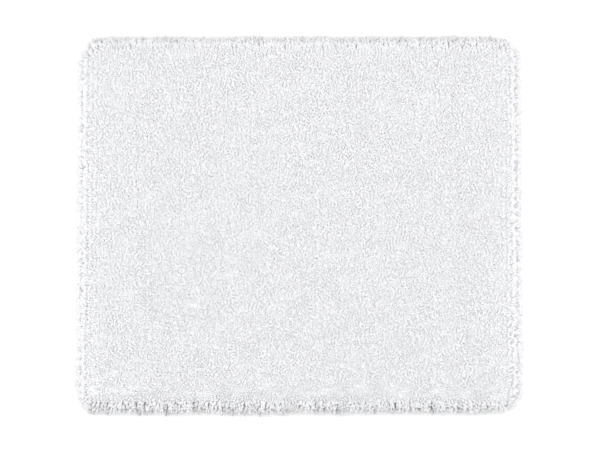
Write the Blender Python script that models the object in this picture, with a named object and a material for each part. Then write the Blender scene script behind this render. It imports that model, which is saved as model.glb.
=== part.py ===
"""A tufted bath mat with rounded corners, in metres, +Z up.

Rows of cut pile yarn are tufted through a base cloth, locked underneath by a latex precoat, and kept from slipping by
a rubber coat. The cloth's edge is overlocked with three threads, which also catch a folded care label. The origin is
on the floor under the middle of the mat. +X runs along the longer side, and +Y points to the back edge, which the pile
leans towards.

Each soft piece is one plain closed solid of its real size. Pieces that touch keep a gap of TOUCH.
"""

import math

import bmesh
import bpy

# The mat over its splayed pile
MAT_LENGTH = 0.654
MAT_DEPTH = 0.558
MAT_CORNER_RADIUS = 0.040
TOUCH = 0.0003

# The layers under the pile, from the floor up
COAT_THICKNESS = 0.0015
PRECOAT_THICKNESS = 0.0006
CLOTH_THICKNESS = 0.0006
PRECOAT_BOTTOM = COAT_THICKNESS + TOUCH
CLOTH_BOTTOM = PRECOAT_BOTTOM + PRECOAT_THICKNESS + TOUCH
CLOTH_TOP = CLOTH_BOTTOM + CLOTH_THICKNESS

# How far each piece stays inside the mat's outline
CLOTH_INSET = 0.012
SEAM_WIDTH = 0.006
THREAD_THICKNESS = 0.0006
NEEDLE_LINE_WIDTH = 0.0008
SEAM_INNER_INSET = CLOTH_INSET + SEAM_WIDTH
NEEDLE_INNER_INSET = SEAM_INNER_INSET + TOUCH + NEEDLE_LINE_WIDTH
PILE_ROOT_INSET = NEEDLE_INNER_INSET + TOUCH
COAT_INSET = SEAM_INNER_INSET + 0.001
COAT_RIM_CHAMFER = 0.0004

# The pile: its height over the cloth, and the bands that its rows of yarn are joined in. The rows run front to back.
PILE_HEIGHT = 0.0209
PILE_BOTTOM = CLOTH_TOP + TOUCH
PILE_TOP = PILE_BOTTOM + PILE_HEIGHT
INCH = 0.0254
YARN_GAUGE = 5 / 32 * INCH
ROWS_PER_BAND = 11
PILE_BANDS = 14

# The care label, a tape folded once, which starts at the seam and lies in a bare patch of the coat
LABEL_WIDTH = 0.035
LABEL_LENGTH = 0.030
LABEL_TAPE = 0.0003
LABEL_FOLD_GAP = 0.0004
LABEL_BOTTOM = 0.0004
LABEL_CENTRE_X = 0.200
LABEL_CLEARANCE = 0.0015

CORNER_STEPS = 7
FOLD_STEPS = 6

WHITE_YARN = (0.86, 0.87, 0.89)
CLOTH_WHITE = (0.78, 0.78, 0.77)
LATEX_CREAM = (0.80, 0.78, 0.70)
RUBBER_WHITE = (0.74, 0.74, 0.72)
THREAD_WHITE = (0.84, 0.85, 0.86)
LABEL_WHITE = (0.88, 0.88, 0.88)


def clear_scene():
    """Removes whatever the scene holds."""
    for obj in list(bpy.data.objects):
        bpy.data.objects.remove(obj, do_unlink=True)


def make_material(name, colour, roughness):
    """A plain Principled material."""
    material = bpy.data.materials.new(name)
    material.use_nodes = True
    shader = material.node_tree.nodes["Principled BSDF"]
    shader.inputs["Base Color"].default_value = (*colour, 1.0)
    shader.inputs["Roughness"].default_value = roughness
    shader.inputs["Metallic"].default_value = 0.0
    return material


def make_object(name, bm, material, parent, smooth=False):
    """Turns a bmesh into a named object with one material."""
    bmesh.ops.recalc_face_normals(bm, faces=bm.faces)
    mesh = bpy.data.meshes.new(name)
    bm.to_mesh(mesh)
    bm.free()
    mesh.materials.append(material)
    if smooth:
        mesh.shade_smooth()
        mesh.set_sharp_from_angle(angle=math.radians(40))
    obj = bpy.data.objects.new(name, mesh)
    obj.parent = parent
    bpy.context.scene.collection.objects.link(obj)
    return obj


def add_outline(bm, inset, height):
    """Adds the vertices of the mat's outline, drawn in by inset, at one height, counter-clockwise."""
    radius = MAT_CORNER_RADIUS - inset
    centre_x = MAT_LENGTH / 2 - MAT_CORNER_RADIUS
    centre_y = MAT_DEPTH / 2 - MAT_CORNER_RADIUS
    ring = []
    for quarter, (side_x, side_y) in enumerate(((1, 1), (-1, 1), (-1, -1), (1, -1))):
        for step in range(CORNER_STEPS + 1):
            turn = math.pi / 2 * (quarter + step / CORNER_STEPS)
            x = side_x * centre_x + radius * math.cos(turn)
            y = side_y * centre_y + radius * math.sin(turn)
            ring.append(bm.verts.new((x, y, height)))
    return ring


def add_wall(bm, lower, upper):
    """Joins two outlines with a band of faces."""
    count = len(lower)
    for i in range(count):
        following = (i + 1) % count
        bm.faces.new((lower[i], lower[following], upper[following], upper[i]))


def layered_solid(levels):
    """A closed solid through outlines given as (inset, height), from its bottom face to its top face."""
    bm = bmesh.new()
    rings = [add_outline(bm, inset, height) for inset, height in levels]
    for lower, upper in zip(rings, rings[1:]):
        add_wall(bm, lower, upper)
    bm.faces.new(rings[0][::-1])
    bm.faces.new(rings[-1])
    return bm


def edging_solid(section):
    """A closed ring that carries one section, given as (inset, height) points, round the mat's edge."""
    bm = bmesh.new()
    rings = [add_outline(bm, inset, height) for inset, height in section]
    for lower, upper in zip(rings, rings[1:] + rings[:1]):
        add_wall(bm, lower, upper)
    return bm


def cut_away(bm, x, outwards):
    """Removes what lies beyond the plane at x, on the side that outwards points to, and closes the cut."""
    everything = bm.verts[:] + bm.edges[:] + bm.faces[:]
    cut = bmesh.ops.bisect_plane(
        bm, geom=everything, dist=1e-7, plane_co=(x, 0, 0), plane_no=(outwards, 0, 0), clear_outer=True
    )
    rim = [item for item in cut["geom_cut"] if isinstance(item, bmesh.types.BMEdge)]
    bmesh.ops.edgeloop_fill(bm, edges=rim)


def pile_levels():
    """The pile's side, from its roots up: out over the seam, round the splayed ends, and in to the flat top."""
    over_seam = CLOTH_TOP + TOUCH + THREAD_THICKNESS + TOUCH
    return (
        (PILE_ROOT_INSET, PILE_BOTTOM),
        (PILE_ROOT_INSET, over_seam),
        (CLOTH_INSET - TOUCH - THREAD_THICKNESS, over_seam),
        (0.0035, PILE_BOTTOM + 0.0022),
        (0.0006, PILE_BOTTOM + 0.0050),
        (0.0, PILE_BOTTOM + 0.0085),
        (0.0012, PILE_BOTTOM + 0.0120),
        (0.0042, PILE_BOTTOM + 0.0157),
        (0.0090, PILE_BOTTOM + 0.0189),
        (0.0160, PILE_TOP),
    )


def build_pile(material, parent):
    """The bands of yarn rows, from the left edge to the right edge. The outer bands also hold the splayed sides."""
    band_width = ROWS_PER_BAND * YARN_GAUGE
    for band in range(PILE_BANDS):
        bm = layered_solid(pile_levels())
        left = (band - PILE_BANDS / 2) * band_width
        if band > 0:
            cut_away(bm, left + TOUCH / 2, -1)
        if band < PILE_BANDS - 1:
            cut_away(bm, left + band_width - TOUCH / 2, 1)
        make_object(f"pile_yarns_{band + 1:02d}", bm, material, parent, smooth=True)


def build_layers(parent):
    """The base cloth, the latex that locks the tufts in it, and the rubber coat that meets the floor."""
    cloth = layered_solid(((CLOTH_INSET, CLOTH_BOTTOM), (CLOTH_INSET, CLOTH_TOP)))
    make_object("base_cloth", cloth, make_material("woven_cloth", CLOTH_WHITE, 0.9), parent)
    precoat_top = PRECOAT_BOTTOM + PRECOAT_THICKNESS
    precoat = layered_solid(((CLOTH_INSET, PRECOAT_BOTTOM), (CLOTH_INSET, precoat_top)))
    make_object("latex_precoat", precoat, make_material("latex", LATEX_CREAM, 0.7), parent)
    coat = layered_solid(
        (
            (COAT_INSET + COAT_RIM_CHAMFER, 0.0),
            (COAT_INSET, COAT_RIM_CHAMFER),
            (COAT_INSET, COAT_THICKNESS),
        )
    )
    coat_object = make_object("anti_slip_coat", coat, make_material("rubber", RUBBER_WHITE, 0.6), parent)
    cut_label_patch(coat_object, parent)


def cut_label_patch(coat, parent):
    """Leaves the coat bare where the care label lies, from the seam inwards."""
    width = LABEL_WIDTH + 2 * LABEL_CLEARANCE
    rear = MAT_DEPTH / 2
    front = MAT_DEPTH / 2 - SEAM_INNER_INSET - TOUCH - LABEL_LENGTH - LABEL_CLEARANCE
    bm = bmesh.new()
    bmesh.ops.create_cube(bm, size=1.0)
    bmesh.ops.scale(bm, vec=(width, rear - front, 4 * COAT_THICKNESS), verts=bm.verts)
    bmesh.ops.translate(bm, vec=(LABEL_CENTRE_X, (rear + front) / 2, 0), verts=bm.verts)
    cutter = make_object("label_patch_cutter", bm, coat.data.materials[0], parent)
    cutter.hide_render = True
    cutter.display_type = "WIRE"
    cut = coat.modifiers.new("label_patch", "BOOLEAN")
    cut.operation = "DIFFERENCE"
    cut.solver = "EXACT"
    cut.object = cutter


def build_overlock(parent):
    """The three threads of the overlocked edge: over the rim, under it, and the needle's line inside the seam."""
    material = make_material("sewing_thread", THREAD_WHITE, 0.8)
    rim_inner = CLOTH_INSET - TOUCH
    rim_outer = rim_inner - THREAD_THICKNESS
    top = CLOTH_TOP + TOUCH
    under = PRECOAT_BOTTOM - TOUCH
    upper_looper = edging_solid(
        (
            (SEAM_INNER_INSET, top),
            (rim_inner, top),
            (rim_inner, PRECOAT_BOTTOM),
            (rim_outer, PRECOAT_BOTTOM),
            (rim_outer, top + THREAD_THICKNESS),
            (SEAM_INNER_INSET, top + THREAD_THICKNESS),
        )
    )
    make_object("overlock_upper_looper_thread", upper_looper, material, parent)
    lower_looper = edging_solid(
        (
            (SEAM_INNER_INSET, under - THREAD_THICKNESS),
            (rim_outer, under - THREAD_THICKNESS),
            (rim_outer, under),
            (SEAM_INNER_INSET, under),
        )
    )
    make_object("overlock_lower_looper_thread", lower_looper, material, parent)
    needle_line = edging_solid(
        (
            (NEEDLE_INNER_INSET, top),
            (SEAM_INNER_INSET + TOUCH, top),
            (SEAM_INNER_INSET + TOUCH, top + THREAD_THICKNESS),
            (NEEDLE_INNER_INSET, top + THREAD_THICKNESS),
        )
    )
    make_object("overlock_needle_thread", needle_line, material, parent)


def label_side():
    """The folded tape seen from the side, as closed (distance from the seam, height) points."""
    outer = LABEL_TAPE + LABEL_FOLD_GAP / 2
    inner = LABEL_FOLD_GAP / 2
    middle = LABEL_BOTTOM + outer
    bend = LABEL_LENGTH - outer
    points = [(0.0, middle - outer)]
    for radius, direction in ((outer, 1), (inner, -1)):
        for step in range(FOLD_STEPS + 1):
            turn = direction * math.pi * (step / FOLD_STEPS - 0.5)
            points.append((bend + radius * math.cos(turn), middle + radius * math.sin(turn)))
        if direction == 1:
            points.append((0.0, middle + outer))
            points.append((0.0, middle + inner))
    points.append((0.0, middle - inner))
    return points


def build_label(parent):
    """The blank care label, folded once, with its cut ends at the seam."""
    seam_y = MAT_DEPTH / 2 - SEAM_INNER_INSET - TOUCH
    left = LABEL_CENTRE_X - LABEL_WIDTH / 2
    bm = bmesh.new()
    side = bm.faces.new([bm.verts.new((left, seam_y - along, height)) for along, height in label_side()])
    swept = bmesh.ops.extrude_face_region(bm, geom=[side])
    far_side = [item for item in swept["geom"] if isinstance(item, bmesh.types.BMVert)]
    bmesh.ops.translate(bm, vec=(LABEL_WIDTH, 0, 0), verts=far_side)
    make_object("care_label", bm, make_material("satin_tape", LABEL_WHITE, 0.4), parent)


def main():
    clear_scene()
    mat = bpy.data.objects.new("bath_mat", None)
    bpy.context.scene.collection.objects.link(mat)
    build_layers(mat)
    build_overlock(mat)
    build_label(mat)
    build_pile(make_material("pile_yarn", WHITE_YARN, 0.95), mat)


main()
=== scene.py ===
"""The looks of a tufted bath mat, in metres, +Z up.

The mat is a cut pile of white yarn, tufted in rows through a woven cloth that is glued and rubber-coated
underneath and overlocked round its edge. Each sub-assembly is a class that builds its own pieces, and each
finish is a small class that makes one material. +X runs along the longer side, and the pile leans towards
+Y, the back edge.
"""

import logging
import math
from dataclasses import dataclass, field
from enum import Enum
from typing import Any, Callable, Sequence

import bmesh
import bpy
import numpy as np
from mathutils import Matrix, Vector


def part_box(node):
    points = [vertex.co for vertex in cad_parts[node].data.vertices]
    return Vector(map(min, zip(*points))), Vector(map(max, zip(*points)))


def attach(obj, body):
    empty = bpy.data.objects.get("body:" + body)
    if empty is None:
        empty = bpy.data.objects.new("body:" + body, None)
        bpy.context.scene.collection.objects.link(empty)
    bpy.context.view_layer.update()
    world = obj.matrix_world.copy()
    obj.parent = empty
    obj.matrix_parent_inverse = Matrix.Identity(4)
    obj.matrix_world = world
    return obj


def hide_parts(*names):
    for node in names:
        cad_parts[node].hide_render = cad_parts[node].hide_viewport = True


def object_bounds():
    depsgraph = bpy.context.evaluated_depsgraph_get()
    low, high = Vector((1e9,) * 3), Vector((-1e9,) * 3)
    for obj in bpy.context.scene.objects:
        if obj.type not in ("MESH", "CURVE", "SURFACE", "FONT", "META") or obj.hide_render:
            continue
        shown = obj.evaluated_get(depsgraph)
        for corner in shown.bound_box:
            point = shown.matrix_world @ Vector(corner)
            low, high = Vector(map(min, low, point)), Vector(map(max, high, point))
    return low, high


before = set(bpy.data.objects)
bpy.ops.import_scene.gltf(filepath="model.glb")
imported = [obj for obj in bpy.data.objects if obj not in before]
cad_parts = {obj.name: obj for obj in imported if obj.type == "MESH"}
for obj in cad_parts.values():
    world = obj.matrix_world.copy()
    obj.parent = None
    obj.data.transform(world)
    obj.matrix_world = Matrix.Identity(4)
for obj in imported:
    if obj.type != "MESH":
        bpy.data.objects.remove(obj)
CAD_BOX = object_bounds()

LOG = logging.getLogger("bath_mat")
ROOT = "root"
BAKE_MAP = "OFBake"
INCH = 0.0254
GAUGE = 5 / 32 * INCH
STITCH = 0.0034
MAT_CORNER = 0.040
CLOTH_CORNER = 0.028
COAT_CORNER = 0.021
CAMERA_AIM = Vector((0.0012, 0.0, 0.0))
Colour = tuple[float, float, float]
Operand = Any


# ---- Materials ----


def operator(operation: str, swapped: bool = False) -> Callable[["Signal", Operand], "Signal"]:
    """Makes the method behind one of Python's operators.

    Args:
        operation: The Math node's operation.
        swapped: Whether the signal is the second operand.

    Returns:
        The method.
    """

    def method(self: "Signal", other: Operand) -> "Signal":
        """Adds the Math node."""
        return self.maths(operation, *((other, self) if swapped else (self, other)))

    return method


class Signal:
    """A number in a material's nodes, which Python's operators turn into Math nodes."""

    def __init__(self, recipe: "Recipe", socket: bpy.types.NodeSocket) -> None:
        """Wraps an output socket of the recipe's node tree."""
        self.recipe = recipe
        self.socket = socket

    def maths(self, operation: str, *operands: Operand) -> "Signal":
        """Adds one Math node.

        Args:
            operation: The node's operation, such as MULTIPLY.
            operands: What its value sockets take, in order: numbers or signals.

        Returns:
            The node's value.
        """
        node = self.recipe.node("ShaderNodeMath", {"operation": operation}, dict(enumerate(operands)))
        return Signal(self.recipe, node.outputs[0])

    __add__, __radd__ = operator("ADD"), operator("ADD", swapped=True)
    __sub__, __rsub__ = operator("SUBTRACT"), operator("SUBTRACT", swapped=True)
    __mul__, __rmul__ = operator("MULTIPLY"), operator("MULTIPLY", swapped=True)
    __pow__ = operator("POWER")

    def sine(self) -> "Signal":
        """The sine of an angle in radians."""
        return self.maths("SINE", self)

    def magnitude(self) -> "Signal":
        """The value without its sign."""
        return self.maths("ABSOLUTE", self)

    def between(self, low: float, high: float) -> "Signal":
        """How far the value is from low to high, eased at both ends.

        Args:
            low: The value that gives 0.
            high: The value that gives 1.

        Returns:
            A number from 0 to 1.
        """
        settings = {"interpolation_type": "SMOOTHSTEP"}
        sockets = {"Value": self, "From Min": low, "From Max": high}
        node = self.recipe.node("ShaderNodeMapRange", settings, sockets)
        return Signal(self.recipe, node.outputs["Result"])


class Recipe:
    """One material under construction: its nodes, and the Principled shader that they feed."""

    def __init__(self, name: str, roughness: float, sheen: float = 0.0) -> None:
        """Starts a material.

        Args:
            name: The material's name.
            roughness: How matt it is where nothing varies it.
            sheen: The weight of the soft sheen of fibres, the same all over.
        """
        self.material = bpy.data.materials.new(name)
        self.material.use_nodes = True
        self.tree = self.material.node_tree
        self.shader = self.tree.nodes["Principled BSDF"]
        self.shader.inputs["Roughness"].default_value = roughness
        self.shader.inputs["Sheen Weight"].default_value = sheen
        self.shader.inputs["Sheen Roughness"].default_value = 0.6
        self.shader.inputs["Specular IOR Level"].default_value = 0.25

    def node(self, kind: str, settings: dict[str, Any], sockets: dict[Any, Any]) -> bpy.types.Node:
        """Adds a node.

        Args:
            kind: The node's type.
            settings: Its own settings, set first. A list of (position, colour) stops fills a ramp.
            sockets: Its input sockets by name or number, each a value, a signal or an output socket.

        Returns:
            The node.
        """
        node = self.tree.nodes.new(kind)
        for name, value in settings.items():
            if name == "stops":
                for i, (position, colour) in enumerate(value):
                    stop = node.color_ramp.elements[i] if i < 2 else node.color_ramp.elements.new(position)
                    stop.position = position
                    stop.color = (*colour, 1.0)
            else:
                setattr(node, name, value)
        for key, value in sockets.items():
            source = value.socket if isinstance(value, Signal) else value
            if isinstance(source, bpy.types.NodeSocket):
                self.tree.links.new(source, node.inputs[key])
            else:
                node.inputs[key].default_value = source
        return node

    def place(self, scale: Sequence[float] = (1.0, 1.0, 1.0), turn: float = 0.0) -> bpy.types.NodeSocket:
        """Object coordinates, scaled per axis and turned about +Z.

        Args:
            scale: The scale of each axis.
            turn: The angle of the turn, in radians.

        Returns:
            The vector output.
        """
        coordinates = self.node("ShaderNodeTexCoord", {}, {})
        sockets = {"Vector": coordinates.outputs["Object"], "Scale": tuple(scale)}
        mapping = self.node("ShaderNodeMapping", {}, {**sockets, "Rotation": (0.0, 0.0, turn)})
        return mapping.outputs["Vector"]

    def axes(self, vector: bpy.types.NodeSocket) -> tuple[Signal, Signal, Signal]:
        """The three parts of a vector."""
        parts = self.node("ShaderNodeSeparateXYZ", {}, {"Vector": vector})
        return tuple(Signal(self, output) for output in parts.outputs)

    def attribute(self, name: str) -> Signal:
        """A number that the piece's mesh holds for each of its points."""
        return Signal(self, self.node("ShaderNodeAttribute", {"attribute_name": name}, {}).outputs["Fac"])

    def noise(self, vector: bpy.types.NodeSocket, scale: float, detail: float = 2.0) -> Signal:
        """Smooth noise from 0 to 1, whose features are about 1 / scale across."""
        node = self.node("ShaderNodeTexNoise", {}, {"Vector": vector, "Scale": scale, "Detail": detail})
        return Signal(self, node.outputs["Fac"])

    def blend(self, factor: Operand, low: Operand, high: Operand) -> bpy.types.NodeSocket:
        """Mixes two colours.

        Args:
            factor: How far from low to high, from 0 to 1.
            low: The colour at 0.
            high: The colour at 1.

        Returns:
            The colour output.
        """
        first = (*low, 1.0) if isinstance(low, tuple) else low
        second = (*high, 1.0) if isinstance(high, tuple) else high
        node = self.node("ShaderNodeMix", {"data_type": "RGBA"}, {0: factor, 6: first, 7: second})
        return node.outputs[2]

    def finish(
        self,
        colour: Operand,
        height: Signal | None = None,
        depth: float = 0.0,
        roughness: Signal | None = None,
    ) -> bpy.types.Material:
        """Feeds the shader.

        Args:
            colour: The base colour, a tuple or a colour output.
            height: The relief, from 0 to 1, or None for a smooth surface.
            depth: How deep the relief is, in metres.
            roughness: What varies the roughness, or None to keep it even.

        Returns:
            The finished material.
        """
        if isinstance(colour, tuple):
            self.shader.inputs["Base Color"].default_value = (*colour, 1.0)
        else:
            self.tree.links.new(colour, self.shader.inputs["Base Color"])
        if height is not None:
            bump = self.node("ShaderNodeBump", {}, {"Height": height, "Distance": depth})
            self.tree.links.new(bump.outputs["Normal"], self.shader.inputs["Normal"])
        if roughness is not None:
            self.tree.links.new(roughness.socket, self.shader.inputs["Roughness"])
        return self.material


@dataclass(frozen=True)
class YarnFinish:
    """Soft white microfibre yarn: even along its length, uneven from end to end, and lightly plied."""

    tip: Colour = (0.895, 0.895, 0.905)
    root: Colour = (0.895, 0.897, 0.907)
    dull: float = 0.96
    plies: float = 2.0
    ply_turns: float = 5.0
    groove_shade: float = 0.02
    ramp: tuple[float, float] = (0.15, 0.85)

    def material(self) -> bpy.types.Material:
        """Makes the pile's material, which reads each yarn end's random tone with the painted shade at the rim,
        and how far along it a point is.

        Returns:
            The material.
        """
        recipe = Recipe("pile_yarn", roughness=0.92, sheen=0.25)
        along = recipe.attribute("yarn_along")
        around = recipe.attribute("yarn_around")
        # The yarn's random tone, lowered by the painted shade at the rim
        shade = recipe.attribute("yarn_tone_and_painted_shade")
        turn = 2.0 * math.pi
        # Painted shade along the grooves between the plies, twisted along the yarn
        twist = (around * (turn * self.plies) + along * (turn * self.ply_turns)).sine().magnitude()
        evenness = shade * (1.0 - self.dull) + (self.dull - self.groove_shade)
        lightness = evenness + twist * self.groove_shade
        body = recipe.blend(along.between(*self.ramp), self.root, self.tip)
        return recipe.finish(recipe.blend(lightness, (0.0, 0.0, 0.0), body))


@dataclass(frozen=True)
class ClothFinish:
    """Plain-woven synthetic backing cloth."""

    light: Colour = (0.80, 0.80, 0.79)
    shade: Colour = (0.55, 0.55, 0.53)
    threads_per_metre: float = 900.0
    weft_share: float = 0.2
    relief: float = 0.00025

    def material(self) -> bpy.types.Material:
        """Makes the cloth's material: crossing flat threads with their own relief, and painted shade where the
        threads dip between and under each other.

        Returns:
            The material.
        """
        recipe = Recipe("woven_cloth", roughness=0.75, sheen=0.1)
        x, y, _ = recipe.axes(recipe.place())
        step = math.pi * self.threads_per_metre
        warp = (x * step).sine().magnitude()
        weft = (y * step).sine().magnitude()
        over = (x * step).sine() * (y * step).sine()
        relief = warp * weft * (over * 0.5 + 0.5) + self.weft_share * weft
        colour = recipe.blend(relief.between(0.0, 0.7), self.shade, self.light)
        return recipe.finish(colour, height=relief, depth=self.relief)


@dataclass(frozen=True)
class LatexFinish:
    """Brushed latex that has soaked into the cloth."""

    cream: Colour = (0.80, 0.78, 0.70)
    thin: Colour = (0.68, 0.66, 0.60)
    blotch_scale: float = 60.0
    grain_scale: float = 900.0
    relief: float = 0.0002

    def material(self) -> bpy.types.Material:
        """Makes the precoat's material: blotchy and slightly rough.

        Returns:
            The material.
        """
        recipe = Recipe("latex", roughness=0.65)
        place = recipe.place()
        blotches = recipe.noise(place, self.blotch_scale, 4.0)
        grain = recipe.noise(place, self.grain_scale)
        colour = recipe.blend(blotches.between(0.3, 0.7), self.thin, self.cream)
        return recipe.finish(colour, height=grain, depth=self.relief)


@dataclass(frozen=True)
class RubberFinish:
    """Matt off-white rubber, sprayed over the backs of the tufts."""

    pale: Colour = (0.76, 0.76, 0.74)
    patch_and_hollow_shade: Colour = (0.58, 0.58, 0.56)
    stitch: float = STITCH
    grain_scale: float = 1500.0
    patch_scale: float = 25.0
    relief: float = 0.0003

    def material(self) -> bpy.types.Material:
        """Makes the coat's material: fine spray grain, bumps where each stitch lies under the rubber, colour
        darker in random patches, and painted shade in the hollows between the stitches.

        Returns:
            The material.
        """
        recipe = Recipe("anti_slip_rubber", roughness=0.55)
        place = recipe.place()
        _, y, _ = recipe.axes(place)
        stitches = (y * (math.pi / self.stitch)).sine().magnitude()
        grain = recipe.noise(place, self.grain_scale, 3.0)
        patches = recipe.noise(place, self.patch_scale, 3.0)
        colour = recipe.blend((patches * 0.6 + stitches * 0.4).between(0.2, 0.8), self.patch_and_hollow_shade, self.pale)
        relief = stitches * 0.8 + grain * 0.2
        return recipe.finish(colour, height=relief, depth=self.relief, roughness=patches * 0.2 + 0.48)


@dataclass(frozen=True)
class ThreadFinish:
    """Spun polyester sewing thread."""

    white: Colour = (0.86, 0.865, 0.875)
    groove_shade: Colour = (0.66, 0.67, 0.68)
    ply_frequency: float = 9000.0
    relief: float = 0.00008

    def material(self) -> bpy.types.Material:
        """Makes the threads' material, with its plies as fine slanted lines and painted shade in the grooves
        between them.

        Returns:
            The material.
        """
        recipe = Recipe("sewing_thread", roughness=0.7, sheen=0.15)
        x, y, z = recipe.axes(recipe.place())
        plies = ((x + y + z) * self.ply_frequency).sine() * 0.5 + 0.5
        colour = recipe.blend(plies.between(0.1, 0.7), self.groove_shade, self.white)
        return recipe.finish(colour, height=plies, depth=self.relief)


@dataclass(frozen=True)
class TapeFinish:
    """Blank satin tape with a woven selvedge."""

    white: Colour = (0.90, 0.90, 0.90)
    shade: Colour = (0.78, 0.78, 0.79)
    slant: tuple[float, float] = (6000.0, 9000.0)
    weft: float = 5200.0
    relief: float = 0.00006

    def material(self) -> bpy.types.Material:
        """Makes the label's material: the fine slanted lines of a satin weave, with painted shade in their low
        parts.

        Returns:
            The material.
        """
        recipe = Recipe("satin_tape", roughness=0.38, sheen=0.1)
        x, y, _ = recipe.axes(recipe.place())
        along, across = self.slant
        slanted = (x * along + y * across).sine() * 0.5 + 0.5
        lines = slanted * ((y * self.weft).sine() * 0.25 + 0.75)
        colour = recipe.blend(lines.between(0.1, 0.9), self.shade, self.white)
        return recipe.finish(colour, height=lines, depth=self.relief)


@dataclass(frozen=True)
class FloorFinish:
    """The studio's plain pale floor."""

    colour: Colour = (0.96, 0.96, 0.96)

    def material(self) -> bpy.types.Material:
        """Makes the floor's material, an even matt white."""
        return Recipe("studio_floor", roughness=0.9).finish(self.colour)


# ---- Shapes ----


@dataclass(frozen=True)
class RoundedOutline:
    """A rectangle with round corners about the origin, given by its half sizes and its corner radius."""

    half_x: float
    half_y: float
    radius: float

    def inside(self, inset: float) -> "RoundedOutline":
        """The outline drawn in by inset."""
        return RoundedOutline(self.half_x - inset, self.half_y - inset, self.radius - inset)

    def area(self) -> float:
        """The area inside it, in square metres."""
        return 4 * self.half_x * self.half_y - (4 - math.pi) * self.radius**2

    def depth(self, x: np.ndarray, y: np.ndarray) -> tuple[np.ndarray, np.ndarray]:
        """How far points lie inside the outline, and which way the nearest edge is.

        Args:
            x: The points' places along +X.
            y: The points' places along +Y.

        Returns:
            The distance to the edge, positive inside, and the outward directions as rows of (x, y).
        """
        over_x = np.abs(x) - (self.half_x - self.radius)
        over_y = np.abs(y) - (self.half_y - self.radius)
        reach = np.hypot(np.maximum(over_x, 0), np.maximum(over_y, 0))
        past = np.where(reach > 0, reach, np.maximum(over_x, over_y))
        corner = (over_x > 0) & (over_y > 0)
        way_x = np.where(corner, over_x, (over_x >= over_y).astype(float))
        way_y = np.where(corner, over_y, (over_x < over_y).astype(float))
        way = np.stack([np.sign(x) * way_x, np.sign(y) * way_y], axis=1)
        return self.radius - past, way / np.maximum(np.linalg.norm(way, axis=1, keepdims=True), 1e-9)

    def length(self) -> float:
        """The distance once round the outline."""
        straight = self.half_x + self.half_y - 2 * self.radius
        return 4 * straight + 2 * math.pi * self.radius

    def walk(self, distance: np.ndarray) -> tuple[np.ndarray, np.ndarray]:
        """Points met on a walk round the outline, counter-clockwise from the middle of the right side.

        Args:
            distance: How far along the walk each point is.

        Returns:
            The points and the outward directions there, as rows of (x, y).
        """
        flat_x, flat_y = self.half_x - self.radius, self.half_y - self.radius
        bend = math.pi / 2 * self.radius
        points = np.zeros((len(distance), 2))
        ways = np.zeros((len(distance), 2))
        start = -flat_y
        left = np.mod(distance - start, self.length())
        for quarter in range(4):
            turn = quarter * math.pi / 2
            side = flat_y if quarter % 2 == 0 else flat_x
            out = self.half_x if quarter % 2 == 0 else self.half_y
            normal = np.array([math.cos(turn), math.sin(turn)])
            ahead = np.array([-normal[1], normal[0]])
            on_side = (left >= 0) & (left < 2 * side)
            points[on_side] = normal * out + np.outer(left[on_side] - side, ahead)
            ways[on_side] = normal
            left = left - 2 * side
            on_bend = (left >= 0) & (left < bend)
            angle = turn + left[on_bend] / self.radius
            ways[on_bend] = np.stack([np.cos(angle), np.sin(angle)], axis=1)
            centre = normal * (out - self.radius) + ahead * side
            points[on_bend] = centre + self.radius * ways[on_bend]
            left = left - bend
        return points, ways


def add_object(name: str, data: bpy.types.ID) -> bpy.types.Object:
    """Makes an object and links it to the scene.

    Args:
        name: Its name.
        data: Its mesh, curve, light or camera.

    Returns:
        The object.
    """
    made = bpy.data.objects.new(name, data)
    bpy.context.scene.collection.objects.link(made)
    return made


def finish_piece(
    name: str,
    bm: bmesh.types.BMesh,
    material: bpy.types.Material,
    crease: float = 50.0,
    turned: bool = False,
) -> bpy.types.Object:
    """Turns a bmesh into a piece with its faces outwards.

    Args:
        name: The piece's name.
        bm: The shape, which is freed.
        material: Its finish.
        crease: The angle in degrees past which an edge is shaded sharp.
        turned: Whether its faces already look outwards.

    Returns:
        The piece, linked to the scene.
    """
    if not turned:
        bmesh.ops.recalc_face_normals(bm, faces=bm.faces)
    mesh = bpy.data.meshes.new(name)
    bm.to_mesh(mesh)
    bm.free()
    mesh.materials.append(material)
    mesh.shade_smooth()
    if crease < 180:
        mesh.set_sharp_from_angle(angle=math.radians(crease))
    return add_object(name, mesh)


def declare(piece: bpy.types.Object, node: str) -> None:
    """Sets a piece on the mat's body in place of a CAD node.

    Args:
        piece: The piece.
        node: The CAD node that it replaces.
    """
    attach(piece, ROOT)
    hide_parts(node)


def new_verts(geometry: list[Any]) -> list[bmesh.types.BMVert]:
    """The points among what a bmesh operator made."""
    return [item for item in geometry if isinstance(item, bmesh.types.BMVert)]


def grow_ring(
    bm: bmesh.types.BMesh, rim: list[bmesh.types.BMEdge], rise: float, scale: float
) -> list[bmesh.types.BMEdge]:
    """Grows a wall from an upright tube's open rim.

    Args:
        bm: The tube, about the +Z axis.
        rim: The edges of its open rim.
        rise: The height of the wall, negative for downwards.
        scale: The new rim's size as a share of the old one's.

    Returns:
        The edges of the new rim.
    """
    grown = bmesh.ops.extrude_edge_only(bm, edges=rim)["geom"]
    ring = new_verts(grown)
    bmesh.ops.translate(bm, vec=(0, 0, rise), verts=ring)
    bmesh.ops.scale(bm, vec=(scale, scale, 1.0), verts=ring)
    edges = [item for item in grown if isinstance(item, bmesh.types.BMEdge)]
    return [edge for edge in edges if all(vert in ring for vert in edge.verts)]


def evaluated_mesh(piece: bpy.types.Object, name: str) -> bpy.types.Mesh:
    """Applies a piece's modifiers and removes the piece.

    Args:
        piece: The piece.
        name: The name of the mesh that is left.

    Returns:
        The mesh.
    """
    graph = bpy.context.evaluated_depsgraph_get()
    mesh = bpy.data.meshes.new_from_object(piece.evaluated_get(graph))
    mesh.name = name
    bpy.data.objects.remove(piece, do_unlink=True)
    return mesh


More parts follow.
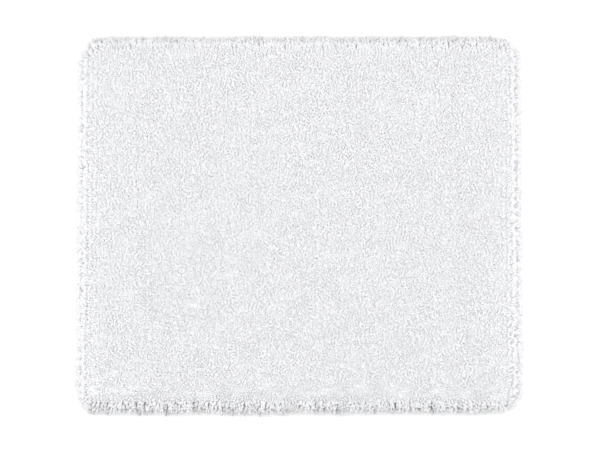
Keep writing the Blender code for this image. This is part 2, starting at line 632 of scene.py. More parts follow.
def copies_of(bm: bmesh.types.BMesh, count: int, name: str) -> bpy.types.Mesh:
    """Repeats a shape, one copy after another, all in one place.

    Args:
        bm: The shape, which is freed.
        count: How many copies.
        name: The mesh's name.

    Returns:
        The mesh that holds the copies.
    """
    pattern = bpy.data.meshes.new(name)
    bm.to_mesh(pattern)
    bm.free()
    holder = add_object(name, pattern)
    repeat = holder.modifiers.new("repeat", "ARRAY")
    repeat.count = count
    repeat.use_relative_offset = False
    repeat.use_merge_vertices = False
    return evaluated_mesh(holder, name)


def read_points(mesh: bpy.types.Mesh) -> np.ndarray:
    """Reads the mesh's vertices.

    Args:
        mesh: The mesh.

    Returns:
        Rows of (x, y, z).
    """
    flat = np.empty(len(mesh.vertices) * 3, np.float32)
    mesh.vertices.foreach_get("co", flat)
    return flat.reshape(-1, 3).astype(float)


def write_points(mesh: bpy.types.Mesh, points: np.ndarray) -> None:
    """Moves the mesh's vertices."""
    mesh.vertices.foreach_set("co", points.astype(np.float32).ravel())
    mesh.update()


def rounded_plate(outline: RoundedOutline, bottom: float, top: float, rim: float = 0.0) -> bmesh.types.BMesh:
    """A flat plate of the outline's shape.

    Args:
        outline: Its outline.
        bottom: The height of its lower face.
        top: The height of its upper face.
        rim: How much its upper and lower edges are rounded.

    Returns:
        The plate.
    """
    bm = bmesh.new()
    bmesh.ops.create_grid(bm, x_segments=1, y_segments=1, size=1.0)
    bmesh.ops.scale(bm, vec=(outline.half_x, outline.half_y, 1.0), verts=bm.verts)
    bmesh.ops.translate(bm, vec=(0, 0, bottom), verts=bm.verts)
    bmesh.ops.bevel(
        bm, geom=bm.verts[:], offset=outline.radius, segments=12, profile=0.5, affect="VERTICES", material=-1
    )
    grown = bmesh.ops.extrude_face_region(bm, geom=bm.faces[:])
    lifted = new_verts(grown["geom"])
    bmesh.ops.translate(bm, vec=(0, 0, top - bottom), verts=lifted)
    if rim > 0:
        flat = [edge for edge in bm.edges if abs(edge.verts[0].co.z - edge.verts[1].co.z) < 1e-6]
        bmesh.ops.bevel(bm, geom=flat, offset=rim, segments=2, profile=0.5, affect="EDGES", material=-1)
    return bm


class Drift:
    """Smooth random variation over a plane, such as the way a pile falls in soft locks."""

    def __init__(self, rng: np.random.Generator, wavelength: float, waves: int = 14) -> None:
        """Draws the waves.

        Args:
            rng: Where the random numbers come from.
            wavelength: The size of the features, in metres.
            waves: How many waves are summed.
        """
        turn = rng.uniform(0, 2 * math.pi, waves)
        pitch = 2 * math.pi / (wavelength * rng.uniform(0.7, 1.5, waves))
        self.waves = np.stack([np.cos(turn) * pitch, np.sin(turn) * pitch])
        self.start = rng.uniform(0, 2 * math.pi, waves)
        self.gain = math.sqrt(2.0 / waves)

    def at(self, x: np.ndarray, y: np.ndarray) -> np.ndarray:
        """The variation at each point, with a mean of 0 and a spread of 1."""
        return self.gain * np.cos(np.stack([x, y], axis=1) @ self.waves + self.start).sum(axis=1)


# ---- Sub-assemblies ----


@dataclass(frozen=True)
class YarnEnd:
    """One cut end of yarn: its radius at each ring, as a share of the yarn's, up to its closed tip."""

    sides: int = 5
    rings: tuple[tuple[float, float], ...] = ((0.0, 0.50), (0.58, 0.88), (0.94, 1.0))

    def pattern(self) -> bmesh.types.BMesh:
        """Makes one upright yarn end of unit length and radius.

        Returns:
            The yarn end, with a map that has its girth across and its length up.
        """
        bm = bmesh.new()
        bmesh.ops.create_circle(bm, cap_ends=True, segments=self.sides, radius=self.rings[0][1])
        rim = [edge for edge in bm.edges if edge.is_boundary]
        for (low, narrow), (high, wide) in zip(self.rings, self.rings[1:]):
            rim = grow_ring(bm, rim, high - low, wide / narrow)
        grown = bmesh.ops.extrude_edge_only(bm, edges=rim)["geom"]
        bmesh.ops.pointmerge(bm, verts=new_verts(grown), merge_co=(0, 0, 1.0))
        bmesh.ops.recalc_face_normals(bm, faces=bm.faces)
        self.lay_out(bm)
        return bm

    def lay_out(self, bm: bmesh.types.BMesh) -> None:
        """Fills the bake map: the sides from left to right, and the hidden base in a small place below.

        Args:
            bm: The yarn end.
        """
        layer = bm.loops.layers.uv.new(BAKE_MAP)
        base_place = 0.05
        for face in bm.faces:
            if all(vert.co.z < 1e-6 for vert in face.verts):
                for loop in face.loops:
                    loop[layer].uv = (0.5 + 0.05 * loop.vert.co.x, base_place / 2 + 0.03 * loop.vert.co.y)
                continue
            middle = face.calc_center_median()
            centre_turn = math.atan2(middle.y, middle.x) / (2 * math.pi) % 1.0
            for loop in face.loops:
                spot = loop.vert.co
                turn = math.atan2(spot.y, spot.x) / (2 * math.pi)
                turn = turn + round(centre_turn - turn) if spot.xy.length > 1e-6 else centre_turn
                loop[layer].uv = (turn, base_place + (1.0 - base_place) * spot.z)


@dataclass
class Pile:
    """The cut pile: rows of yarn ends rooted in the cloth, upright inside and splayed over its edge."""

    outline: RoundedOutline
    root_height: float
    finish: YarnFinish = field(default_factory=YarnFinish)
    end: YarnEnd = field(default_factory=YarnEnd)
    top: float = 0.0245
    seed: int = 5

    # Where the rows stand: each stitch leaves ends_per_stitch cut ends, and each in the outer rows is
    # joined by edge_extra more
    gauge: float = GAUGE
    stitch: float = STITCH
    rows_per_band: int = 11
    bands: int = 14
    ends_per_stitch: int = 2
    leg_spread: float = 0.0010
    root_inset: float = 0.0215
    root_grace: float = 0.0005
    row_jitter: float = 0.05
    stitch_jitter: float = 0.07
    edge_rows: float = 0.008
    edge_extra: int = 2
    edge_jitter: float = 0.0007

    # The yarn ends, which lean back a little and drift into locks
    height: float = 0.0206
    height_spread: float = 0.025
    radius: float = 0.00145
    radius_spread: float = 0.10
    lean: float = 0.0064
    scatter: float = 0.0012
    sway_sizes: tuple[float, float, float] = (0.045, 0.060, 0.050)
    sway_reach: tuple[float, float, float] = (0.0010, 0.0007, 0.0002)
    lock_sizes: tuple[float, float, float] = (0.010, 0.013, 0.009)
    lock_reach: float = 0.0008
    lock_reach_at_rim: float = 0.0011
    lock_height: float = 0.0003
    curl: float = 1.3
    curl_lost: float = 0.7
    side_curl: float = 0.3
    arch: float = 1.2
    taut: float = 0.97
    floor_gap: float = 0.0004
    crease: float = 50.0

    # The bed below their free ends
    bed_depth: float = 0.0067
    bed_slope: float = 0.0240
    bed_drop: float = 0.0025
    bed_cell: float = 0.0040
    bed_bumps: float = 0.0005
    bed_share: float = 0.06
    bed_along: float = 0.75

    # The splay over the edge: how far in it starts, how far out it reaches, and how uneven its rim is
    splay_width: float = 0.028
    fall: float = 1.9
    overhang: float = 0.0212
    edge_spread: float = 0.60
    spread_power: float = 1.5
    side_even: float = 0.9
    edge_bloom: float = 0.15
    side_bloom: float = 0.40
    droop: float = 0.0030
    rim_gap: float = 0.0003
    rim_wave: float = 0.0002
    rim_scatter: float = 0.0006
    # Painted shade on the outermost yarn ends: how much darker they are made at the front, back and sides, in
    # patches along the rim
    front_painted_shade: float = 3.1
    back_painted_shade: float = 2.5
    side_painted_shade: float = 0.3
    patchiness: float = 0.8
    patch_stretch: float = 0.3
    patch_range: tuple[float, float] = (0.2, 2.6)

    def __post_init__(self) -> None:
        """Sets up what the bands share: the roots' outline, the random numbers, the sway and the locks."""
        self.inner = self.outline.inside(self.root_inset)
        self.rng = np.random.default_rng(self.seed)
        ways = ("x", "y", "height")
        self.sway = {way: Drift(self.rng, size) for way, size in zip(ways, self.sway_sizes)}
        self.lock = {way: Drift(self.rng, size) for way, size in zip(ways, self.lock_sizes)}

    def build(self) -> list[bpy.types.Object]:
        """Makes one piece for each band of rows, from the left edge to the right."""
        material = self.finish.material()
        return [self.band_piece(band, material) for band in range(self.bands)]

    def roots(self, band: int) -> np.ndarray:
        """Where the band's yarn ends leave the cloth.

        Args:
            band: Which band.

        Returns:
            Rows of (x, y, side), where side says which way a yarn end falls off its row.
        """
        total_rows = self.rows_per_band * self.bands
        stitches = int(2 * self.inner.half_y / self.stitch)
        row = band * self.rows_per_band + np.arange(self.rows_per_band)
        row_x = (row - (total_rows - 1) / 2) * self.gauge
        row_y = (np.arange(stitches) - (stitches - 1) / 2) * self.stitch
        x, y, leg = np.meshgrid(row_x, row_y, np.arange(self.ends_per_stitch), indexing="ij")
        x, y, leg = x.ravel(), y.ravel(), leg.ravel()
        side = 2 * leg - 1.0
        x = x + side * 0.5 * self.leg_spread + self.rng.normal(0, self.row_jitter * self.gauge, len(x))
        y = y + side * 0.25 * self.stitch + self.rng.normal(0, self.stitch_jitter * self.stitch, len(y))
        depth, _ = self.inner.depth(x, y)
        roots = np.stack([x, y, side], axis=1)[depth > -self.root_grace]
        outer = roots[self.inner.depth(roots[:, 0], roots[:, 1])[0] < self.edge_rows]
        extra = np.repeat(outer, self.edge_extra, axis=0)
        extra[:, :2] += self.rng.normal(0, self.edge_jitter, (len(extra), 2))
        return np.concatenate([roots, extra])

    def tips(self, roots: np.ndarray) -> np.ndarray:
        """Where each yarn end's tip is from its root, and how it gets there.

        Args:
            roots: The roots, as rows of (x, y, side).

        Returns:
            Rows of (x, y, z, curl, bloom, painted shade): the tip from the root; how late the yarn falls over,
                below
            1 where it falls at once and rises again; how much thicker it is for being loose; and how much
            painted shade darkens it at the rim, most at the front edge, less at the back and least at the
            sides.
        """
        x, y = roots[:, 0], roots[:, 1]
        count = len(roots)
        rng, sway, lock = self.rng, self.sway, self.lock
        share_x = np.clip(1 - (self.inner.half_x - np.abs(x)) / self.splay_width, 0, 1)
        share_y = np.clip(1 - (self.inner.half_y - np.abs(y)) / self.splay_width, 0, 1)
        out = np.stack([np.sign(x) * share_x**self.fall, np.sign(y) * share_y**self.fall], axis=1)
        fan = np.linalg.norm(out, axis=1)
        side = (out[:, 0] / np.maximum(fan, 1e-9)) ** 2
        out /= np.maximum(fan, 1e-9)[:, None]
        fan = np.minimum(fan, 1)
        length = math.hypot(self.height, self.lean) * (1 + rng.normal(0, self.height_spread, count))
        sway_x, sway_y, sway_height = self.sway_reach
        length += sway_height * sway["height"].at(x, y) + self.lock_height * lock["height"].at(x, y)
        across = np.stack([sway_x * sway["x"].at(x, y), self.lean + sway_y * sway["y"].at(x, y)], axis=1)
        across += rng.normal(0, self.scatter, (count, 2))
        across[:, 0] += roots[:, 2] * 0.5 * self.leg_spread
        across *= (1 - fan)[:, None]
        locks = np.stack([lock["x"].at(x, y), lock["y"].at(x, y)], axis=1)
        lock_reach = self.lock_reach + (self.lock_reach_at_rim - self.lock_reach) * fan
        across += lock_reach[:, None] * locks
        short = self.edge_spread * (1 - self.side_even * side) * fan**2
        short = 1 - short * rng.uniform(0, 1, count) ** self.spread_power
        across += out * (self.overhang * fan * short)[:, None]
        tip_depth, tip_out = self.outline.depth(x + across[:, 0], y + across[:, 1])
        waves = 1 + lock["height"].at(1.2 * x, 1.2 * y).clip(-1, 2)
        rim = self.rim_gap + self.rim_wave * (1 + side) * waves + rng.uniform(0, self.rim_scatter, count)
        across -= tip_out * np.maximum(rim - tip_depth, 0)[:, None]
        reach = np.linalg.norm(across, axis=1)
        limit = self.taut * length
        across *= np.minimum(1.0, limit / np.maximum(reach, 1e-9))[:, None]
        reach = np.minimum(reach, limit)
        rise = np.sqrt(length**2 - reach**2) - self.droop * fan**3 * side
        curl = self.curl - (self.curl_lost - self.side_curl * side) * fan
        bloom = (self.edge_bloom + (self.side_bloom - self.edge_bloom) * side) * fan
        # Painted shade at the rim: darkest at the front edge, a little less at the back, slight at the sides,
        # in patches
        patches = np.clip(1 + self.patchiness * lock["x"].at(x, self.patch_stretch * y), *self.patch_range)
        end_painted_shade = np.where(y < 0, self.front_painted_shade, self.back_painted_shade) * patches
        painted_shade = fan**3 * (self.side_painted_shade * side + end_painted_shade * (1 - side))
        return np.column_stack([across, rise, curl, bloom, painted_shade])

    def band_piece(self, band: int, material: bpy.types.Material) -> bpy.types.Object:
        """Makes one band: copies of the yarn end, each bent from its root to its own tip.

        Args:
            band: Which band.
            material: The pile's finish.

        Returns:
            The piece.
        """
        rng = self.rng
        name = f"pile_band_{band + 1:02d}"
        roots = self.roots(band)
        tips = self.tips(roots)
        count = len(roots)
        mesh = copies_of(self.end.pattern(), count, name)
        shape = read_points(mesh).reshape(count, -1, 3)
        girth = self.radius * (1 + rng.normal(0, self.radius_spread, count)) * (1 + tips[:, 4])
        phase = rng.uniform(0, 2 * math.pi, count)
        placed = self.bend(shape, roots, tips, girth, phase)
        write_points(mesh, placed.reshape(-1, 3))
        # Each yarn end's random tone, less the painted shade at the rim
        self.mark(mesh, shape, rng.uniform(0, 1, count) - tips[:, 5])
        self.spread_map(mesh, count, self.bed_share)
        bm = self.bed(band)
        bm.from_mesh(mesh)
        bpy.data.meshes.remove(mesh)
        piece = finish_piece(name, bm, material, crease=self.crease, turned=True)
        declare(piece, f"pile_yarns_{band + 1:02d}")
        triangles = sum(len(face.vertices) - 2 for face in piece.data.polygons)
        LOG.info("%s: %d yarn ends, %d triangles", name, count, triangles)
        return piece

    def bed(self, band: int) -> bmesh.types.BMesh:
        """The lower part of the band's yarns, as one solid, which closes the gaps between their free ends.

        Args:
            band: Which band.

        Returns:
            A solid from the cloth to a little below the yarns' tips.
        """
        inner = self.inner
        width = self.rows_per_band * self.gauge
        left = max((band - self.bands / 2) * width, -inner.half_x)
        right = min((band + 1 - self.bands / 2) * width, inner.half_x)
        bm = bmesh.new()
        columns, lines = round((right - left) / self.bed_cell), round(2 * inner.half_y / self.bed_cell)
        bmesh.ops.create_grid(bm, x_segments=columns, y_segments=lines, size=0.5)
        bmesh.ops.scale(bm, vec=(right - left, 2 * inner.half_y, 1), verts=bm.verts)
        bmesh.ops.translate(bm, vec=((left + right) / 2, 0, self.root_height), verts=bm.verts)
        spots = np.array([face.calc_center_median().xy[:] for face in bm.faces])
        depth, _ = inner.depth(spots[:, 0], spots[:, 1])
        outside = [face for face, away in zip(bm.faces, depth < 0) if away]
        bmesh.ops.delete(bm, geom=outside, context="FACES")
        rim = [vert for vert in bm.verts if vert.is_boundary]
        spots = np.array([vert.co.xy[:] for vert in rim])
        depth, out = inner.depth(spots[:, 0], spots[:, 1])
        for vert, inside, way in zip(rim, depth, out):
            if abs(inside) < self.bed_cell and left < vert.co.x < right:
                vert.co.xy += Vector(way) * inside
        grown = bmesh.ops.extrude_face_region(bm, geom=bm.faces[:])
        upper = new_verts(grown["geom"])
        spots = np.array([vert.co.xy[:] for vert in upper])
        x, y = spots[:, 0], spots[:, 1]
        depth, _ = inner.depth(x, y)
        ease = np.clip(depth / self.bed_slope, 0, 1)
        height = self.top - self.bed_depth - self.bed_drop * (1 - ease) ** 2
        height += self.sway_reach[2] * self.sway["height"].at(x, y)
        inland = (x > left + 1e-5) & (x < right - 1e-5)
        height += np.where(inland, self.rng.normal(0, self.bed_bumps, len(x)), 0)
        for vert, z in zip(upper, height):
            vert.co.z = z
        bmesh.ops.recalc_face_normals(bm, faces=bm.faces)
        self.mark_bed(bm, set(upper), left, right)
        return bm

    def mark_bed(
        self, bm: bmesh.types.BMesh, upper: set[bmesh.types.BMVert], left: float, right: float
    ) -> None:
        """Gives the bed what the finish reads, and a strip of the bake map above the yarn ends' cells.

        Args:
            bm: The bed.
            upper: Its upper points.
            left: Where it starts along +X.
            right: Where it ends along +X.
        """
        numbers = {
            "yarn_along": lambda vert: self.bed_along if vert in upper else 0.0,
            "yarn_around": lambda vert: vert.co.y / 0.002,
            "yarn_tone_and_painted_shade": lambda vert: 0.5 + 0.4 * math.sin(vert.co.x * 2100 + vert.co.y * 1300),
        }
        for name, rule in numbers.items():
            layer = bm.verts.layers.float.new(name)
            for vert in bm.verts:
                vert[layer] = rule(vert)
        chart = bm.loops.layers.uv.new(BAKE_MAP)
        strip = self.bed_share
        for face in bm.faces:
            on_top = all(vert in upper for vert in face.verts)
            for loop in face.loops:
                spot = loop.vert.co
                along = (spot.y / self.inner.half_y + 1) / 2
                across = (spot.x - left) / (right - left)
                if not on_top:
                    across = 0.5 * (spot.z / self.top + across)
                row = 0.5 if on_top else 0.0
                loop[chart].uv = (0.01 + 0.98 * along, 1 - strip + strip * (row + 0.05 + 0.4 * across))

    def bend(
        self, shape: np.ndarray, roots: np.ndarray, tips: np.ndarray, girth: np.ndarray, phase: np.ndarray
    ) -> np.ndarray:
        """Bends the upright copies to their tips.

        Args:
            shape: The copies' points, (count, points, 3), of unit length and radius.
            roots: Where each starts, as rows that begin with (x, y).
            tips: Where each ends and how it gets there, as tips() gives it.
            girth: Each one's radius.
            phase: How far each is turned about its own line.

        Returns:
            The bent points, shaped as shape.
        """
        along = shape[:, :, 2]
        reach = np.linalg.norm(tips[:, :2], axis=1)
        heading = tips[:, :2] / np.maximum(reach, 1e-9)[:, None]
        curl = tips[:, 3:4]
        arch = self.arch * (curl - 1) * reach[:, None]
        early = np.maximum(along, 0.02)
        forward = reach[:, None] * along**curl
        upward = tips[:, 2:3] * along + arch * along * (1 - along)
        slope_out = curl * reach[:, None] * early ** (curl - 1)
        slope_up = tips[:, 2:3] + arch * (1 - 2 * along)
        steep = np.hypot(slope_out, slope_up)
        slope_out, slope_up = slope_out / steep, slope_up / steep
        cos, sin = np.cos(phase)[:, None], np.sin(phase)[:, None]
        side = (shape[:, :, 0] * cos - shape[:, :, 1] * sin) * girth[:, None]
        back = (shape[:, :, 0] * sin + shape[:, :, 1] * cos) * girth[:, None]
        plane = forward - back * slope_up
        x = roots[:, 0:1] + heading[:, 0:1] * plane - heading[:, 1:2] * side
        y = roots[:, 1:2] + heading[:, 1:2] * plane + heading[:, 0:1] * side
        z = np.maximum(self.root_height + upward + back * slope_out, self.floor_gap)
        return np.stack([x, y, z], axis=2)

    @staticmethod
    def mark(mesh: bpy.types.Mesh, shape: np.ndarray, shade: np.ndarray) -> None:
        """Stores what the finish reads: how far along and around its yarn a point is, and the yarn's random
        tone less the painted shade at the rim.

        Args:
            mesh: The copies.
            shape: Their points before they were bent, (count, points, 3).
            shade: Each copy's own random tone, less the painted shade at the rim.
        """
        around = np.arctan2(shape[:, :, 1], shape[:, :, 0]) / (2 * math.pi)
        values = {
            "yarn_along": shape[:, :, 2],
            "yarn_around": around,
            "yarn_tone_and_painted_shade": np.repeat(shade[:, None], shape.shape[1], axis=1),
        }
        for name, numbers in values.items():
            layer = mesh.attributes.new(name, "FLOAT", "POINT")
            layer.data.foreach_set("value", numbers.astype(np.float32).ravel())

    @staticmethod
    def spread_map(mesh: bpy.types.Mesh, count: int, share: float) -> None:
        """Gives each yarn end its own cell of the bake map, below the strip that the bed takes.

        Args:
            mesh: The copies.
            count: How many there are.
            share: The strip's share of the map.
        """
        layer = mesh.uv_layers[BAKE_MAP]
        flat = np.empty(len(mesh.loops) * 2, np.float32)
        layer.uv.foreach_get("vector", flat)
        spots = flat.reshape(count, -1, 2)
        low = spots[..., 0].min()
        width = spots[..., 0].max() - low
        columns = math.ceil(math.sqrt(count))
        margin = 0.06
        cell = np.stack([np.arange(count) % columns, np.arange(count) // columns], axis=1)[:, None, :]
        inner = np.stack([(spots[..., 0] - low) / width, spots[..., 1]], axis=2) * (1 - 2 * margin) + margin
        placed = (cell + inner) / columns
        placed[..., 1] *= 1 - share
        layer.uv.foreach_set("vector", placed.astype(np.float32).ravel())


@dataclass
class Backing:
    """What holds the pile: the woven cloth, and the latex that locks the tufts into it."""

    outline: RoundedOutline
    rim: float = 0.0001

    def layer(self, name: str, node: str, finish: ClothFinish | LatexFinish, slot: str) -> bpy.types.Object:
        """Makes one flat layer between the heights of its CAD node.

        Args:
            name: The piece's name.
            node: The CAD node.
            finish: Its finish.
            slot: What it is made of; not used.

        Returns:
            The piece.
        """
        low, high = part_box(node)
        bm = rounded_plate(self.outline, low.z, high.z, self.rim)
        piece = finish_piece(name, bm, finish.material())
        declare(piece, node)
        LOG.info("%s: %.1f mm thick", name, 1000 * (high.z - low.z))
        return piece

    def cloth(self) -> bpy.types.Object:
        """Makes the woven cloth."""
        return self.layer("base_weave", "base_cloth", ClothFinish(), "woven_cloth")

    def latex(self) -> bpy.types.Object:
        """Makes the latex layer."""
        return self.layer("latex_layer", "latex_precoat", LatexFinish(), "latex")


@dataclass
class AntiSlipCoat:
    """The rubber underneath: a film that follows the rows of stitches, with soft round grip dots."""

    outline: RoundedOutline
    thickness: float
    label_box: tuple[Vector, Vector]
    gauge: float = GAUGE
    rows: int = 158
    steps_per_row: int = 4
    film_bottom: float = 0.00055
    ridge: float = 0.00018
    label_clearance: float = 0.0015
    dot_pitch: float = 0.0110
    dot_radius: float = 0.0017
    dot_sides: int = 6
    dot_bury: float = 0.0003
    dot_round: float = 0.0003

    def build(self) -> bpy.types.Object:
        """Makes the ridged film and its dots as one piece.

        Returns:
            The piece.
        """
        material = RubberFinish().material()
        mesh = self.film(material)
        bm = bmesh.new()
        bm.from_mesh(mesh)
        dots = self.dots()
        bm.from_mesh(dots)
        piece = finish_piece("rubber_underside", bm, material)
        declare(piece, "anti_slip_coat")
        LOG.info("rubber_underside: %d faces", len(piece.data.polygons))
        return piece

    def film(self, material: bpy.types.Material) -> bpy.types.Mesh:
        """Makes the film: a ridged slab cut to the outline, less the bare patch for the label.

        Args:
            material: The coat's finish.

        Returns:
            The film.
        """
        bm = bmesh.new()
        columns = self.rows * self.steps_per_row
        bmesh.ops.create_grid(bm, x_segments=columns, y_segments=1, size=1.0)
        bmesh.ops.scale(bm, vec=(self.rows * self.gauge / 2, self.outline.half_y + 0.005, 1), verts=bm.verts)
        for vert in bm.verts:
            vert.co.z = self.film_bottom - self.ridge * math.cos(2 * math.pi * vert.co.x / self.gauge)
        grown = bmesh.ops.extrude_face_region(bm, geom=bm.faces[:])
        for vert in new_verts(grown["geom"]):
            vert.co.z = self.thickness
        slab = finish_piece("film", bm, material)
        height = 4 * self.thickness
        low, high = self.label_box
        patch = bmesh.new()
        bmesh.ops.create_cube(patch, size=1.0)
        wide = high.x - low.x + 2 * self.label_clearance
        deep = self.outline.half_y - low.y + self.label_clearance + 0.01
        bmesh.ops.scale(patch, vec=(wide, deep, height), verts=patch.verts)
        middle = ((low.x + high.x) / 2, low.y - self.label_clearance + deep / 2, 0)
        bmesh.ops.translate(patch, vec=middle, verts=patch.verts)
        rim = rounded_plate(self.outline, -height / 2, height / 2)
        cutters = (
            ("INTERSECT", finish_piece("rim", rim, material)),
            ("DIFFERENCE", finish_piece("patch", patch, material)),
        )
        for operation, cutter in cutters:
            cut = slab.modifiers.new(operation.lower(), "BOOLEAN")
            cut.operation = operation
            cut.solver = "EXACT"
            cut.object = cutter
        mesh = evaluated_mesh(slab, "film")
        for _, cutter in cutters:
            bpy.data.objects.remove(cutter, do_unlink=True)
        return mesh

    def dots(self) -> bpy.types.Mesh:
        """Makes the grip dots, in staggered rows, flat where they meet the floor.

        Returns:
            The dots.
        """
        across = np.arange(-self.outline.half_x, self.outline.half_x, self.dot_pitch)
        back = np.arange(-self.outline.half_y, self.outline.half_y, self.dot_pitch * math.sqrt(0.75))
        x, y = np.meshgrid(across, back, indexing="ij")
        x = x + np.where(np.arange(len(back)) % 2 == 0, 0.5, 0.0) * self.dot_pitch
        x, y = x.ravel(), y.ravel()
        depth, _ = self.outline.depth(x, y)
        low, high = self.label_box
        room = self.label_clearance + 1.5 * self.dot_radius
        at_label = (x > low.x - room) & (x < high.x + room) & (y > low.y - room)
        kept = (depth > 2 * self.dot_radius) & ~at_label
        centres = np.column_stack([x, y, np.zeros(len(x))])[kept]
        bm = bmesh.new()
        bmesh.ops.create_circle(bm, cap_ends=True, segments=self.dot_sides, radius=self.dot_radius)
        buried = self.film_bottom + self.dot_bury
        bmesh.ops.translate(bm, vec=(0, 0, buried), verts=bm.verts)
        rim = [edge for edge in bm.edges if edge.is_boundary]
        for shrink, drop in ((0.96, self.dot_round - buried), (0.62, -self.dot_round)):
            rim = grow_ring(bm, rim, drop, shrink)
        bmesh.ops.contextual_create(bm, geom=rim)
        bmesh.ops.recalc_face_normals(bm, faces=bm.faces)
        mesh = copies_of(bm, len(centres), "dots")
        shape = read_points(mesh).reshape(len(centres), -1, 3)
        write_points(mesh, (shape + centres[:, None, :]).reshape(-1, 3))
        LOG.info("grip dots: %d", len(centres))
        return mesh


class SeamThread(Enum):
    """The three threads of the overlocked edge."""

    UPPER_LOOPER = "overlock_upper_looper_thread"
    LOWER_LOOPER = "overlock_lower_looper_thread"
    NEEDLE = "overlock_needle_thread"


@dataclass
class OverlockedEdge:
    """The sewn edge: each thread follows its own path from stitch to stitch round the cloth."""

    outline: RoundedOutline
    top: float
    bottom: float
    seam_width: float = 0.006
    stitch: float = 0.0026
    thread_radius: float = 0.00028
    over_rim: float = 0.0006

    def path(self, thread: SeamThread) -> list[tuple[float, float, float]]:
        """One stitch of a thread.

        Args:
            thread: Which thread.

        Returns:
            The path's points as (share of the stitch, distance out from the cloth's edge, height).
        """
        seam, rim = -self.seam_width, self.over_rim
        above, below = self.top + self.thread_radius, self.bottom - self.thread_radius
        middle = (self.top + self.bottom) / 2
        if thread is SeamThread.UPPER_LOOPER:
            return [
                (0.00, seam, above + 0.0002),
                (0.22, seam / 2, above + 0.0003),
                (0.42, rim * 0.6, above),
                (0.50, rim, middle + 0.0003),
                (0.58, rim * 0.6, above),
                (0.78, seam / 2, above + 0.0003),
            ]
        if thread is SeamThread.LOWER_LOOPER:
            return [
                (0.00, seam, below),
                (0.28, seam / 2, below),
                (0.44, rim * 0.6, below),
                (0.50, rim, middle - 0.0003),
                (0.56, rim * 0.6, below),
                (0.72, seam / 2, below),
            ]
        line = seam - 0.0006
        return [
            (0.00, line, above - 0.0007),
            (0.14, line, above + 0.0001),
            (0.50, line, above + 0.00035),
            (0.86, line, above + 0.0001),
        ]

    def build(self) -> list[bpy.types.Object]:
        """Makes the three threads, each one closed loop round the mat."""
        material = ThreadFinish().material()
        return [self.thread_piece(thread, material) for thread in SeamThread]

    def thread_piece(self, thread: SeamThread, material: bpy.types.Material) -> bpy.types.Object:
        """Makes one thread as a thin tube along its path.

        Args:
            thread: Which thread.
            material: The threads' finish.

        Returns:
            The piece.
        """
        around = self.outline.length()
        stitches = round(around / self.stitch)
        steps = np.array(self.path(thread))
        share = (np.arange(stitches)[:, None] + steps[:, 0]).ravel() / stitches
        points, ways = self.outline.walk(share * around)
        out = np.tile(steps[:, 1], stitches)[:, None]
        line = np.column_stack([points + ways * out, np.tile(steps[:, 2], stitches)])
        curve = bpy.data.curves.new(thread.value, "CURVE")
        curve.dimensions = "3D"
        curve.bevel_depth = self.thread_radius
        curve.bevel_resolution = 0
        spline = curve.splines.new("POLY")
        spline.points.add(len(line) - 1)
        spline.points.foreach_set("co", np.column_stack([line, np.ones(len(line))]).ravel())
        spline.use_cyclic_u = True
        name = thread.value.replace("_thread", "")
        mesh = evaluated_mesh(add_object(thread.value, curve), name)
        mesh.materials.clear()
        mesh.materials.append(material)
        mesh.shade_smooth()
        piece = add_object(name, mesh)
        declare(piece, thread.value)
        LOG.info("%s: %d stitches", name, stitches)
        return piece


@dataclass
class CareLabel:
    """The blank label: a satin tape folded once, with its cut ends at the seam."""

    box: tuple[Vector, Vector]
    tape: float = 0.00022
    bend_steps: int = 8

    def build(self) -> bpy.types.Object:
        """Makes the folded tape.

        Returns:
            The piece.
        """
        low, high = self.box
        radius = (high.z - low.z - self.tape) / 2
        middle = (high.z + low.z) / 2
        fold = low.y + radius + self.tape / 2
        bm = bmesh.new()
        bmesh.ops.create_grid(bm, x_segments=10, y_segments=1, size=0.5)
        bmesh.ops.scale(bm, vec=(high.x - low.x, high.y - fold, 1), verts=bm.verts)
        centre = ((low.x + high.x) / 2, (high.y + fold) / 2, middle + radius)
        bmesh.ops.translate(bm, vec=centre, verts=bm.verts)
        edge = [e for e in bm.edges if all(abs(v.co.y - fold) < 1e-6 for v in e.verts)]
        bmesh.ops.spin(
            bm, geom=edge, cent=(0, fold, middle), axis=(1, 0, 0), angle=math.pi, steps=self.bend_steps
        )
        last = [e for e in bm.edges if all(abs(v.co.z - middle + radius) < 1e-6 for v in e.verts)]
        grown = bmesh.ops.extrude_edge_only(bm, edges=last)["geom"]
        bmesh.ops.translate(bm, vec=(0, high.y - fold, 0), verts=new_verts(grown))
        bmesh.ops.recalc_face_normals(bm, faces=bm.faces)
        bmesh.ops.solidify(bm, geom=bm.faces[:], thickness=self.tape)
        piece = finish_piece("blank_care_label", bm, TapeFinish().material())
        declare(piece, "care_label")
        LOG.info("blank_care_label: %.0f x %.0f mm folded", 1000 * (high.x - low.x), 1000 * (high.y - low.y))
        return piece


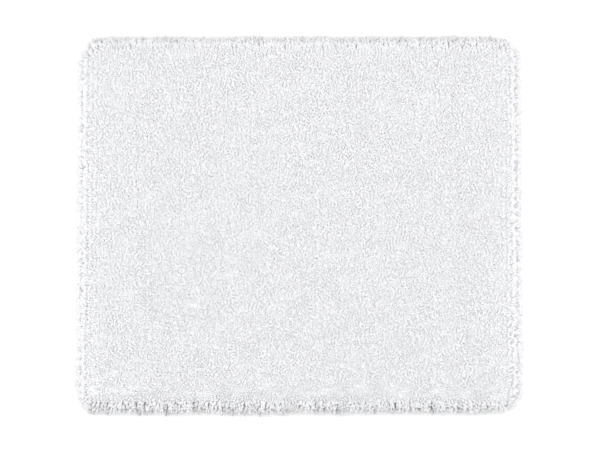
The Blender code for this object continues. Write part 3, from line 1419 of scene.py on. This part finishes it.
@dataclass
class Studio:
    """A plain pale floor, big soft lights to the left and right, and a camera almost straight above."""

    elevation: float = math.radians(86.7)
    distance: float = 2.5
    view_width: float = 0.877
    floor_size: float = 40.0
    sensor: float = 0.036
    fill: float = 0.385
    left_watts: float = 28.0
    right_watts: float = 27.0
    overhead_watts: float = 42.0
    bounces: int = 16
    side_away: float = 1.9
    side_height: float = 1.5
    side_size: float = 2.0
    overhead_height: float = 3.2
    overhead_size: float = 2.4
    sky_colour: Colour = (0.985, 0.99, 1.0)

    def build(self, middle: Vector) -> None:
        """Makes the floor, the lights and the camera.

        Args:
            middle: The point that the camera looks at.
        """
        self.floor()
        self.sky()
        for name, way, watts in (("left", -1, self.left_watts), ("right", 1, self.right_watts)):
            place = Vector((way * self.side_away, 0.0, self.side_height))
            self.light(f"softbox_{name}", place, self.side_size, watts)
        place = Vector((0.0, 0.0, self.overhead_height))
        self.light("softbox_overhead", place, self.overhead_size, self.overhead_watts)
        self.camera(middle)

    def floor(self) -> None:
        """Makes the floor at the height that the mat lies on."""
        bm = bmesh.new()
        bmesh.ops.create_grid(bm, x_segments=1, y_segments=1, size=self.floor_size / 2)
        floor = finish_piece("studio_floor", bm, FloorFinish().material())

    def sky(self) -> None:
        """Surrounds the scene with even white light."""
        world = bpy.data.worlds.new("studio")
        world.use_nodes = True
        background = world.node_tree.nodes["Background"]
        background.inputs["Color"].default_value = (*self.sky_colour, 1.0)
        background.inputs["Strength"].default_value = self.fill
        bpy.context.scene.world = world

    def light(self, name: str, place: Vector, size: float, watts: float) -> None:
        """Makes one square softbox that faces the middle of the floor.

        Args:
            name: Its name.
            place: Where it stands.
            size: Its side.
            watts: Its power.
        """
        lamp = bpy.data.lights.new(name, "AREA")
        lamp.shape = "SQUARE"
        lamp.size = size
        lamp.energy = watts
        holder = add_object(name, lamp)
        holder.location = place
        holder.rotation_euler = (-place).to_track_quat("-Z", "Y").to_euler()

    def camera(self, middle: Vector) -> None:
        """Makes the camera, which looks at a point from the front, high up.

        Args:
            middle: The point.
        """
        back = Vector((0, -math.cos(self.elevation), math.sin(self.elevation)))
        lens = bpy.data.cameras.new("camera")
        lens.sensor_width = self.sensor * 1000
        lens.lens = self.sensor * 1000 * self.distance / self.view_width
        lens.clip_start = 0.05
        lens.clip_end = 100.0
        holder = add_object("camera", lens)
        holder.location = middle + back * self.distance
        holder.rotation_euler = (-back).to_track_quat("-Z", "Y").to_euler()
        bpy.context.scene.camera = holder
        bpy.context.scene.view_settings.view_transform = "Standard"
        bpy.context.scene.cycles.max_bounces = self.bounces
        bpy.context.scene.cycles.diffuse_bounces = self.bounces


def outline_of(node: str, radius: float) -> RoundedOutline:
    """The outline of a CAD node seen from above, with that corner radius."""
    low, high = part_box(node)
    return RoundedOutline((high.x - low.x) / 2, (high.y - low.y) / 2, radius)


def mat_outline(radius: float) -> RoundedOutline:
    """The outline of the whole mat seen from above, with that corner radius."""
    low, high = CAD_BOX
    return RoundedOutline((high.x - low.x) / 2, (high.y - low.y) / 2, radius)


def main() -> None:
    """Builds the mat from the floor up, then the studio round it."""
    logging.basicConfig(level=logging.INFO, format="%(name)s: %(message)s")
    mat = mat_outline(MAT_CORNER)
    cloth_outline = outline_of("base_cloth", CLOTH_CORNER)
    coat_outline = outline_of("anti_slip_coat", COAT_CORNER)
    AntiSlipCoat(coat_outline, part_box("anti_slip_coat")[1].z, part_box("care_label")).build()
    backing = Backing(cloth_outline)
    backing.latex()
    cloth = backing.cloth()
    threads = OverlockedEdge(cloth_outline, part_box("base_cloth")[1].z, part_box("latex_precoat")[0].z).build()
    label = CareLabel(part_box("care_label")).build()
    pile = Pile(mat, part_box("base_cloth")[1].z).build()
    cloth_outline.area()
    Studio().build(CAMERA_AIM)


if __name__ == "__main__":
    main()
